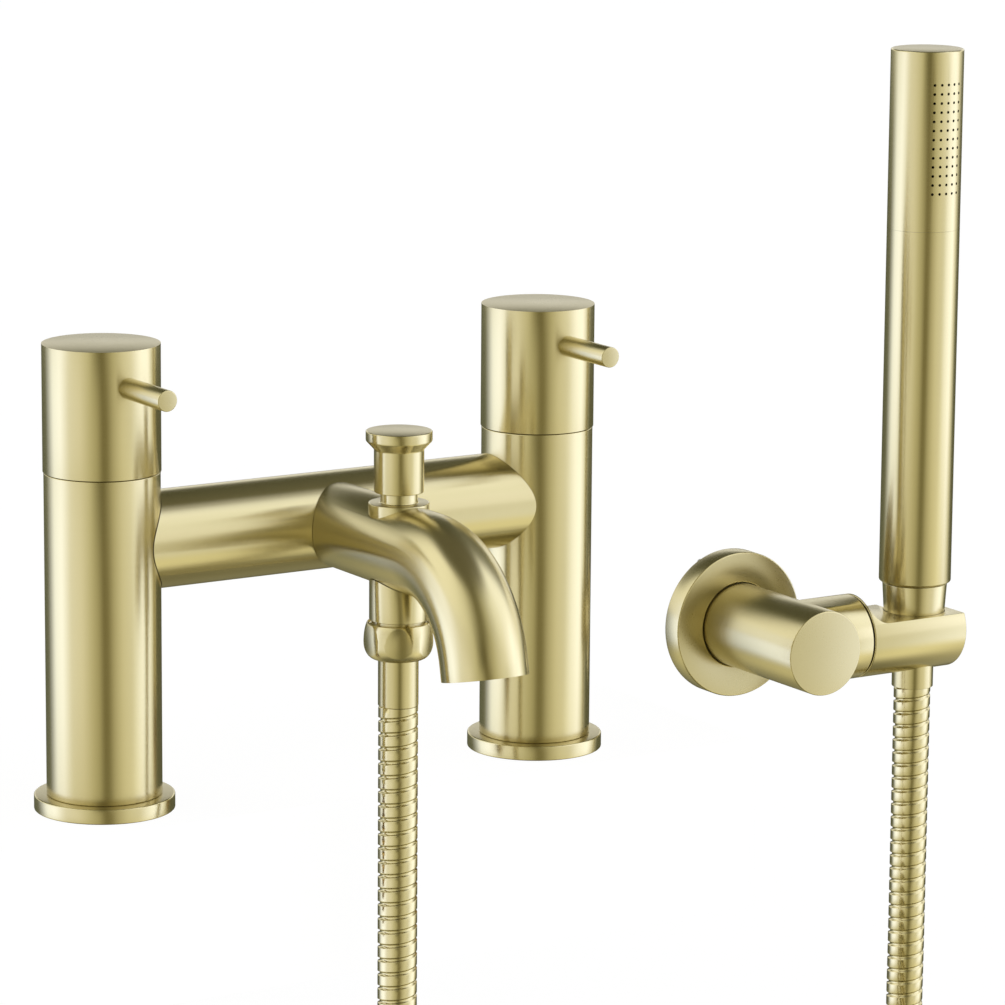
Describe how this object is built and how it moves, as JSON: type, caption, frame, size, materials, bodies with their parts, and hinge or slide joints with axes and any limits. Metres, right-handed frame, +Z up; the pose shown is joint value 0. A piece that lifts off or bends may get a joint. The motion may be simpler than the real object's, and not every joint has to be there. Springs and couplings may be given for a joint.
{
  "type": "bath shower mixer",
  "caption": "Deck-mounted bath shower mixer: lever handles on pillars, bridge and curved spout with pull-up diverter, ribbed hose, stick handset in a swivelling wall cradle.",
  "frame": {"origin": "midway between the pillars' axes, on the deck surface under the base flanges", "axes": "+X to the right along the bridge, -Y the way the spout points, +Y to the wall behind, +Z up"},
  "size_m": [0.3849, 0.1803, 0.5173],
  "materials": {
    "brushed_brass": "brushed satin, pale gold coating",
    "hose_brass": "satin, wound metal strip",
    "raw_brass": "turned, uncoated",
    "rubber": "matt black",
    "fibre": "pressed fibre",
    "nylon": "matt dark nylon",
    "ceramic": "polished alumina ceramic",
    "plastic": "moulded, pale grey",
    "steel": "plain stainless steel"
  },
  "bodies": {
    "mixer": {"left_pillar": "brushed_brass", "right_pillar": "brushed_brass", "left_base_flange": "brushed_brass", "right_base_flange": "brushed_brass", "deck_seals": "rubber", "left_inlet_tail": "raw_brass", "right_inlet_tail": "raw_brass", "clamp_washers": "fibre", "backnuts": "raw_brass", "left_cartridge": "raw_brass", "right_cartridge": "raw_brass", "seat_seals": "rubber", "left_fixed_disc": "ceramic", "right_fixed_disc": "ceramic", "crossbar": "brushed_brass", "spout": "brushed_brass", "aerator_housing": "brushed_brass", "aerator_sieve": "plastic", "diverter_bonnet": "brushed_brass", "bonnet_o_ring": "rubber", "shower_nipple": "brushed_brass", "hose_nut": "brushed_brass", "nut_washer": "rubber", "hose_sleeve": "brushed_brass", "hose_left_run": "hose_brass", "hose_coil": "hose_brass", "hose_right_run": "hose_brass", "coil_tie": "rubber", "wall_plate": "steel", "wall_screws": "steel", "wall_flange": "brushed_brass", "bracket_post": "brushed_brass", "bracket_screws": "steel"},
    "left_handle": {"left_handle": "brushed_brass", "left_lever": "brushed_brass", "left_handle_screw": "steel", "left_spindle": "raw_brass", "left_moving_disc": "ceramic"},
    "right_handle": {"right_handle": "brushed_brass", "right_lever": "brushed_brass", "right_handle_screw": "steel", "right_spindle": "raw_brass", "right_moving_disc": "ceramic"},
    "diverter": {"diverter_knob": "brushed_brass", "diverter_stem": "steel", "diverter_plunger": "raw_brass", "plunger_seals": "rubber"},
    "cradle": {"cradle": "brushed_brass", "friction_washer": "nylon"},
    "hose_end": {"hose_ferrule": "raw_brass"},
    "handset": {"cone_nut": "brushed_brass", "handset_washer": "rubber", "handset_grip": "brushed_brass", "head_o_ring": "rubber", "spray_head": "brushed_brass", "spray_liner": "plastic"}
  },
  "joints": [
    {"name": "left_handle_turn", "type": "hinge", "parent": "mixer", "child": "left_handle", "pos_m": [-0.09, 0, 0.1445], "axis": [0, 0, 1], "range_deg": [-90, 0]},
    {"name": "right_handle_turn", "type": "hinge", "parent": "mixer", "child": "right_handle", "pos_m": [0.09, 0, 0.1445], "axis": [0, 0, 1], "range_deg": [0, 90]},
    {"name": "diverter_lift", "type": "slide", "parent": "mixer", "child": "diverter", "axis": [0, 0, 1], "range_m": [0, 0.01]},
    {"name": "cradle_tilt", "type": "hinge", "parent": "mixer", "child": "cradle", "pos_m": [0.256, -0.012, 0.0285], "axis": [1, 0, 0], "range_deg": [-5, 40], "deforming": ["hose_right_run"]},
    {"name": "handset_lift", "type": "slide", "parent": "cradle", "child": "hose_end", "axis": [0, 0, 1], "range_m": [0, 0.026], "deforming": ["hose_right_run"]},
    {"name": "handset_turn", "type": "hinge", "parent": "hose_end", "child": "handset", "pos_m": [0.256, -0.012, 0.0285], "axis": [0, 0, 1], "continuous": true}
  ]
}
